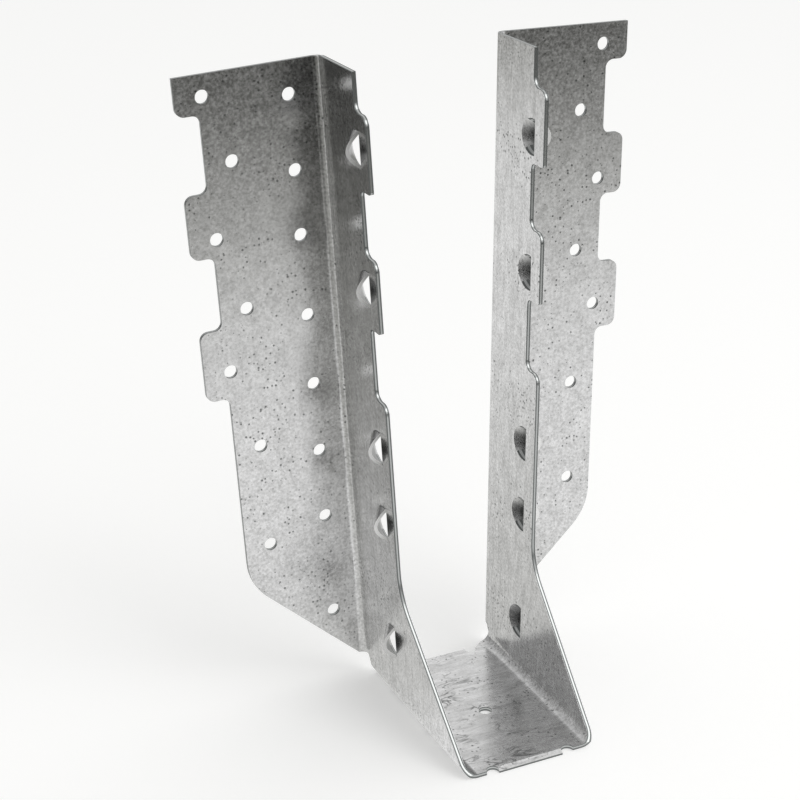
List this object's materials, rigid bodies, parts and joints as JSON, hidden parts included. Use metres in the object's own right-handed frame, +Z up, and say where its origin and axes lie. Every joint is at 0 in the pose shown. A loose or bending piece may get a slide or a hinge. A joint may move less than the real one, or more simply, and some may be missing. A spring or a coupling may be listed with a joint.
{
  "type": "joist hanger",
  "caption": "Face-mount joist hanger folded from one galvanised steel sheet, with tabbed nail flanges, lanced nail guides and an open U-shaped stirrup.",
  "frame": {"origin": "on the floor under the middle of the hanger's box: the seat's underside is at z = 0 and the header plane at y = +41.6 mm", "axes": "+Z up along the stirrup, +Y towards the header, +X to the right for someone who faces the header"},
  "size_m": [0.1624, 0.0832, 0.2269],
  "materials": {
    "galvanised_steel": "hot-dip zinc coated, matt grey with fine pits"
  },
  "bodies": {
    "root": {"joist_hanger": "galvanised_steel"}
  },
  "joints": []
}
